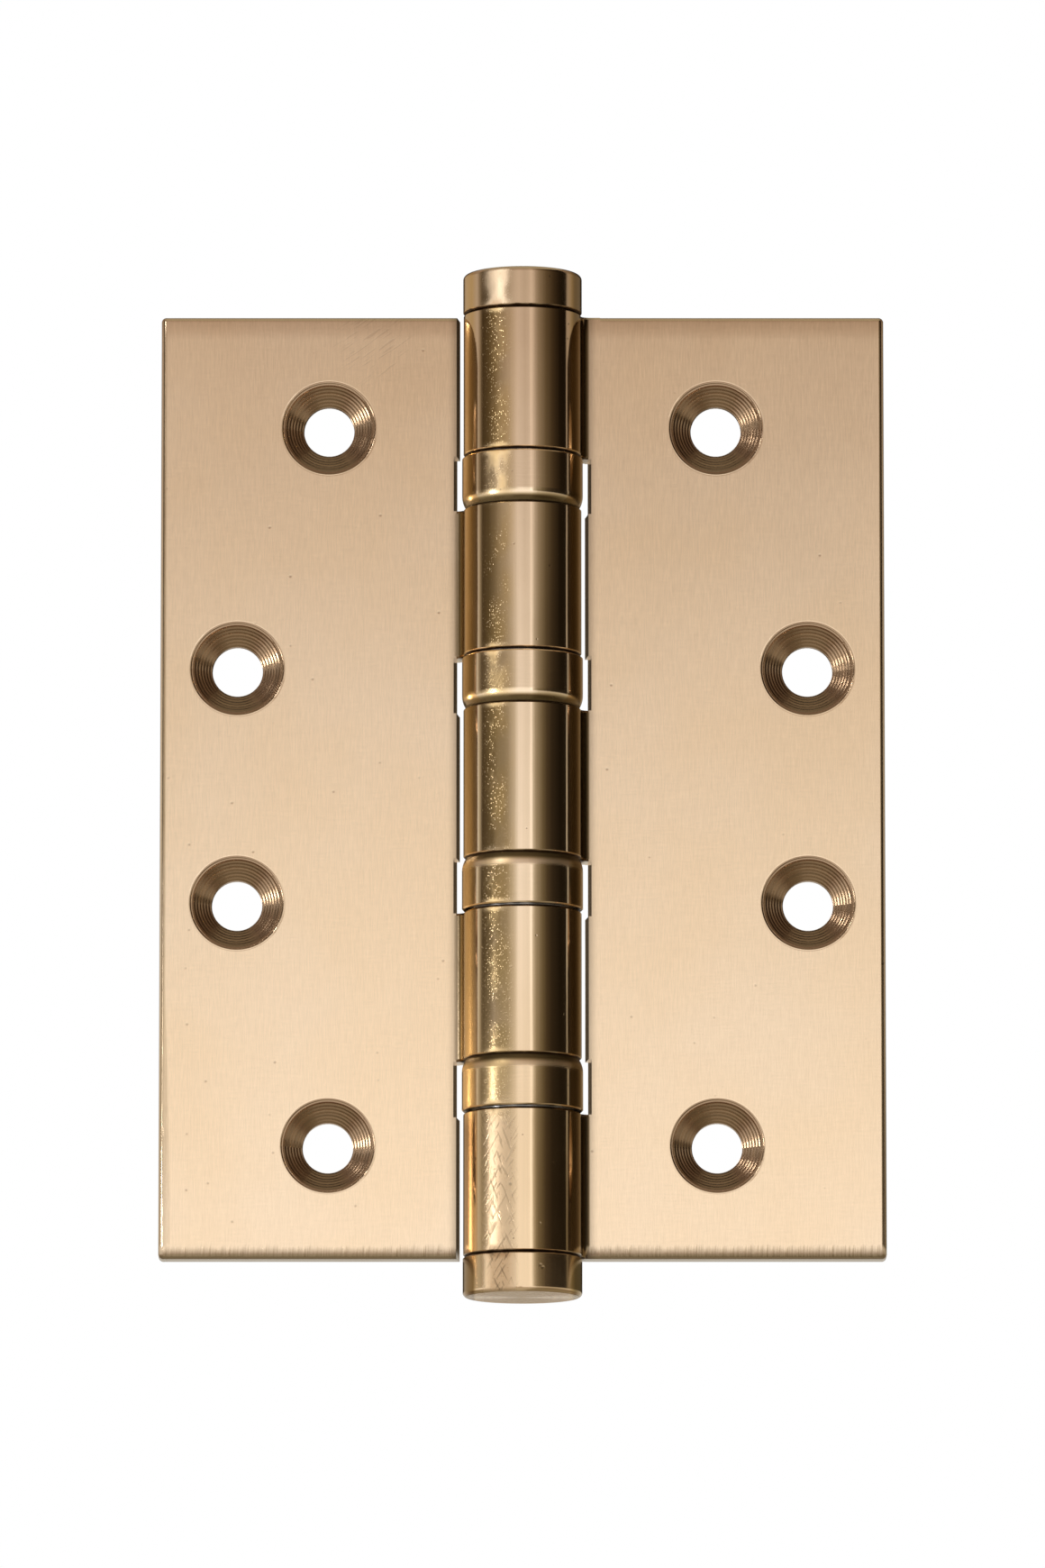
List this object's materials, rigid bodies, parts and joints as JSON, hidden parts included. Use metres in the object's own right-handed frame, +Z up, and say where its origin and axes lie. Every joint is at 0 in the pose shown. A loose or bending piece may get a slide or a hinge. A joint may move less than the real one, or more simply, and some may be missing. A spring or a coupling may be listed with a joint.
{
  "type": "ball bearing hinge",
  "caption": "Butt hinge whose leaves turn on a pin through interlocking knuckles, with ball bearings between the knuckles and button tips on the pin.",
  "frame": {"origin": "on the pin's axis at the middle of its length, which is the middle of the part's box", "axes": "+Z up along the pin; leaves lie open flat along X, frame leaf at +X and door leaf at -X; the countersunk faces look towards -Y"},
  "size_m": [0.0762, 0.0126, 0.1084],
  "materials": {
    "leaf_brass": "satin polished, fine grain along the pin",
    "tip_brass": "turned and polished",
    "bearing_brass": "drawn and polished",
    "cage_brass": "pressed",
    "pin_steel": "ground",
    "race_steel": "turned and hardened",
    "ball_steel": "polished"
  },
  "bodies": {
    "frame_leaf": {"three_knuckle_leaf": "leaf_brass", "hinge_pin": "pin_steel", "top_tip": "tip_brass", "bottom_tip": "tip_brass", "bearing_1_face_race": "race_steel", "bearing_2_shell": "bearing_brass", "bearing_2_cup_race": "race_steel", "bearing_3_shell": "bearing_brass", "bearing_3_cup_race": "race_steel", "bearing_4_face_race": "race_steel"},
    "door_leaf": {"two_knuckle_leaf": "leaf_brass", "bearing_1_shell": "bearing_brass", "bearing_1_cup_race": "race_steel", "bearing_2_face_race": "race_steel", "bearing_3_face_race": "race_steel", "bearing_4_shell": "bearing_brass", "bearing_4_cup_race": "race_steel"},
    "ball_ring_1": {"bearing_1_balls": "ball_steel", "bearing_1_cage": "cage_brass"},
    "ball_ring_2": {"bearing_2_balls": "ball_steel", "bearing_2_cage": "cage_brass"},
    "ball_ring_3": {"bearing_3_balls": "ball_steel", "bearing_3_cage": "cage_brass"},
    "ball_ring_4": {"bearing_4_balls": "ball_steel", "bearing_4_cage": "cage_brass"}
  },
  "joints": [
    {"name": "leaf_swing", "type": "hinge", "parent": "frame_leaf", "child": "door_leaf", "pos_m": [0, 0, 0], "axis": [0, 0, 1], "range_deg": [-115, 180]},
    {"name": "ball_ring_1_roll", "type": "hinge", "parent": "frame_leaf", "child": "ball_ring_1", "pos_m": [0, 0, 0], "axis": [0, 0, 1], "range_deg": [-57.5, 90]},
    {"name": "ball_ring_2_roll", "type": "hinge", "parent": "frame_leaf", "child": "ball_ring_2", "pos_m": [0, 0, 0], "axis": [0, 0, 1], "range_deg": [-57.5, 90]},
    {"name": "ball_ring_3_roll", "type": "hinge", "parent": "frame_leaf", "child": "ball_ring_3", "pos_m": [0, 0, 0], "axis": [0, 0, 1], "range_deg": [-57.5, 90]},
    {"name": "ball_ring_4_roll", "type": "hinge", "parent": "frame_leaf", "child": "ball_ring_4", "pos_m": [0, 0, 0], "axis": [0, 0, 1], "range_deg": [-57.5, 90]}
  ],
  "couplings": [
    {"joint": "ball_ring_1_roll", "follows": "leaf_swing", "ratio": 0.5},
    {"joint": "ball_ring_2_roll", "follows": "leaf_swing", "ratio": 0.5},
    {"joint": "ball_ring_3_roll", "follows": "leaf_swing", "ratio": 0.5},
    {"joint": "ball_ring_4_roll", "follows": "leaf_swing", "ratio": 0.5}
  ]
}
